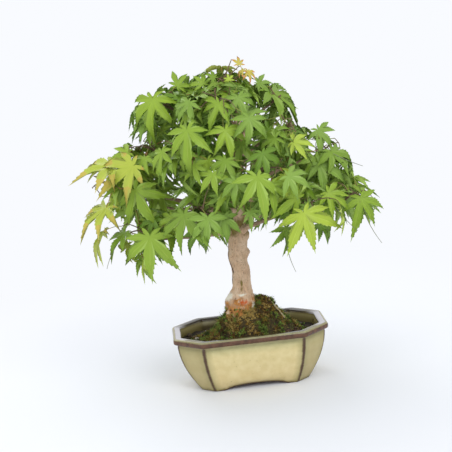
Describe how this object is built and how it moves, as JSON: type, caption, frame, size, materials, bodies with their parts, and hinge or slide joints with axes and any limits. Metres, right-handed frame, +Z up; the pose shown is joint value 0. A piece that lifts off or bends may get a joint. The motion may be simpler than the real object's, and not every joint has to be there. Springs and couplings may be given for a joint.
{
  "type": "potted maple bonsai",
  "caption": "Small bonsai maple with a broad domed leafy crown, a flared trunk rising from a moss mound, in a glazed oblong pot with cut corners.",
  "frame": {"origin": "middle of the pot's flat underside, on the surface that the pot stands on", "axes": "+Z up along the tree, +X along the pot's long side to the viewer's right, -Y towards the viewer"},
  "size_m": [0.3138, 0.2382, 0.3139],
  "materials": {
    "glazed_pot": "gloss",
    "potting_soil": "matte",
    "moss": "matte",
    "bark_trunk": "matte",
    "bark_bough": "matte",
    "leaves": "satin",
    "leaves_new": "satin"
  },
  "bodies": {
    "root": {"bough_back_low": "bark_bough", "bough_back_middle_left": "bark_bough", "bough_back_middle_right": "bark_bough", "bough_front_low_left": "bark_bough", "bough_front_middle": "bark_bough", "bough_front_middle_left": "bark_bough", "bough_front_middle_right": "bark_bough", "bough_left_back": "bark_bough", "bough_left_low": "bark_bough", "bough_left_middle": "bark_bough", "bough_left_tip": "bark_bough", "bough_right_back": "bark_bough", "bough_right_low": "bark_bough", "bough_right_middle": "bark_bough", "bough_right_tip": "bark_bough", "bough_upper_back": "bark_bough", "bough_upper_front": "bark_bough", "bough_upper_left": "bark_bough", "bough_upper_right": "bark_bough", "foliage_apex": "leaves", "foliage_back_low": "leaves", "foliage_back_middle_left": "leaves", "foliage_back_middle_right": "leaves", "foliage_front_low_left": "leaves", "foliage_front_middle": "leaves", "foliage_front_middle_left": "leaves", "foliage_front_middle_right": "leaves", "foliage_left_back": "leaves_new", "foliage_left_low": "leaves_new", "foliage_left_middle": "leaves_new", "foliage_left_tip": "leaves_new", "foliage_right_back": "leaves", "foliage_right_low": "leaves", "foliage_right_middle": "leaves", "foliage_right_tip": "leaves", "foliage_upper_back": "leaves", "foliage_upper_front": "leaves", "foliage_upper_left": "leaves", "foliage_upper_right": "leaves", "moss_mound": "moss", "pot": "glazed_pot", "soil": "potting_soil", "trunk": "bark_trunk"}
  },
  "joints": []
}
